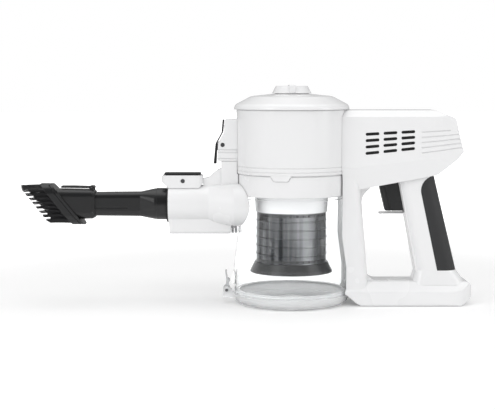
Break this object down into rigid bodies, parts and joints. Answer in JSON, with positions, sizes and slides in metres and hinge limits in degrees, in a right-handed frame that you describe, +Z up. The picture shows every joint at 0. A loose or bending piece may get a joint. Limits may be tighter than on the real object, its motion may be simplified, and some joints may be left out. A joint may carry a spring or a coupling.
{
  "type": "handheld vacuum cleaner",
  "caption": "Cordless handheld vacuum with an upright motor head, clear cyclone dust cup, D-shaped trigger handle and a slanted brush and crevice tool.",
  "frame": {"origin": "centre of the dust cup door's flat underside, on the axis the motor and the cyclone share", "axes": "+Z up along the motor axis; +X from the inlet towards the handle, the longest side; +Y across, the shortest side"},
  "size_m": [0.4703, 0.12, 0.2273],
  "materials": {
    "white_shell": "smooth moulded white",
    "dark_plastic": "dark grey moulded, semi-gloss",
    "black_trim": "black, fine texture",
    "soft_pad": "soft dark grey overmould",
    "clear_wall": "clear polycarbonate",
    "seal_rubber": "black elastomer",
    "mesh_steel": "fine perforated steel",
    "pin_steel": "dark ground pin",
    "contact_metal": "plated contacts",
    "motor_metal": "machined",
    "rotor_metal": "ground shaft and magnet",
    "impeller_metal": "machined impeller",
    "filter_foam": "open cell sponge",
    "filter_paper": "pleated filter medium",
    "bristle_fibre": "stiff nylon tufts",
    "cell_sleeve": "sleeved cells",
    "board_green": "coated circuit board",
    "inner_grey": "grey structural moulding",
    "spring_steel": "spring wire",
    "screw_steel": "zinc plated"
  },
  "bodies": {
    "housing": {"motor_head_shell": "white_shell", "motor_can": "motor_metal", "motor_bearings": "rotor_metal", "motor_carrier": "inner_grey", "cup_latch_bracket": "white_shell", "cup_latch_pin": "pin_steel", "cup_latch_spring": "spring_steel", "handle_shell_near": "white_shell", "handle_shell_far": "white_shell", "housing_screws": "screw_steel", "grip_pad": "soft_pad", "trigger_switch": "black_trim", "trigger_spring": "spring_steel", "vent_screen_near": "black_trim", "vent_screen_far": "black_trim", "battery_cells": "cell_sleeve", "battery_case": "inner_grey", "controller_board": "board_green", "charge_socket": "black_trim"},
    "lid": {"exhaust_lid": "white_shell", "exhaust_filter": "filter_paper", "lid_foam": "filter_foam"},
    "knob": {"filter_knob": "white_shell"},
    "rotor": {"motor_shaft": "rotor_metal", "impeller": "impeller_metal"},
    "cup_latch": {"cup_latch_lever": "dark_plastic"},
    "trigger": {"trigger": "dark_plastic", "trigger_pad": "black_trim"},
    "dust_cup": {"cup_collar": "white_shell", "cup_seal": "seal_rubber", "pre_filter": "filter_foam", "inlet_duct": "white_shell", "clear_cup": "clear_wall", "mesh_sleeve": "white_shell", "mesh_screen": "mesh_steel", "mesh_frame": "dark_plastic", "cyclone_cone": "dark_plastic", "mesh_skirt": "dark_plastic", "release_pod": "white_shell", "rocker_pin": "pin_steel", "rocker_spring": "spring_steel", "inlet_seal": "seal_rubber", "contact_pins": "contact_metal", "door_hinge_pin": "pin_steel"},
    "tool_rocker": {"release_rocker": "dark_plastic", "rocker_pad": "black_trim"},
    "door": {"cup_door": "clear_wall", "door_seal": "seal_rubber", "door_latch_pin": "pin_steel"},
    "door_latch": {"door_latch": "clear_wall"},
    "tool": {"crevice_nozzle": "dark_plastic"},
    "brush": {"brush_slide": "dark_plastic", "bristles": "bristle_fibre", "slide_catch_pin": "pin_steel"},
    "brush_catch": {"slide_catch": "dark_plastic"}
  },
  "joints": [
    {"name": "lid_lift", "type": "slide", "parent": "housing", "child": "lid", "axis": [0, 0, 1], "range_m": [0, 0.04]},
    {"name": "knob_turn", "type": "hinge", "parent": "lid", "child": "knob", "pos_m": [0, 0, 0.22], "axis": [0, 0, 1], "range_deg": [0, 45]},
    {"name": "rotor_spin", "type": "hinge", "parent": "housing", "child": "rotor", "pos_m": [0, 0, 0.17], "axis": [0, 0, 1], "continuous": true},
    {"name": "cup_latch_press", "type": "hinge", "parent": "housing", "child": "cup_latch", "pos_m": [-0.0715, 0, 0.1657], "axis": [0, 1, 0], "range_deg": [0, 8], "stiffness_Nm_per_rad": 0.4, "springref_deg": -17.19, "deforming": ["cup_latch_spring"]},
    {"name": "trigger_pull", "type": "slide", "parent": "housing", "child": "trigger", "axis": [1, 0, 0], "range_m": [0, 0.005], "stiffness_N_per_m": 400, "springref_m": -0.004, "deforming": ["trigger_spring"]},
    {"name": "cup_drop", "type": "slide", "parent": "housing", "child": "dust_cup", "axis": [0, 0, -1], "range_m": [0, 0.045]},
    {"name": "tool_release_press", "type": "hinge", "parent": "dust_cup", "child": "tool_rocker", "pos_m": [-0.1128, 0, 0.1284], "axis": [0, 1, 0], "range_deg": [0, 5], "stiffness_Nm_per_rad": 0.6, "springref_deg": -11.46, "deforming": ["rocker_spring"]},
    {"name": "door_swing", "type": "hinge", "parent": "dust_cup", "child": "door", "pos_m": [0.0636, 0, 0.008], "axis": [0, 1, 0], "range_deg": [-70, 0]},
    {"name": "door_latch_press", "type": "hinge", "parent": "door", "child": "door_latch", "pos_m": [-0.0676, 0, 0.014], "axis": [0, 1, 0], "range_deg": [-14, 0], "stiffness_Nm_per_rad": 0.2, "springref_deg": 11.46},
    {"name": "tool_pull", "type": "slide", "parent": "dust_cup", "child": "tool", "axis": [-1, 0, 0], "range_m": [0, 0.06]},
    {"name": "brush_slide_back", "type": "slide", "parent": "tool", "child": "brush", "axis": [1, 0, 0], "range_m": [0, 0.025]},
    {"name": "brush_catch_lift", "type": "hinge", "parent": "brush", "child": "brush_catch", "pos_m": [-0.2076, 0, 0.1214], "axis": [0, 1, 0], "range_deg": [0, 10], "stiffness_Nm_per_rad": 0.05, "springref_deg": -11.46}
  ]
}
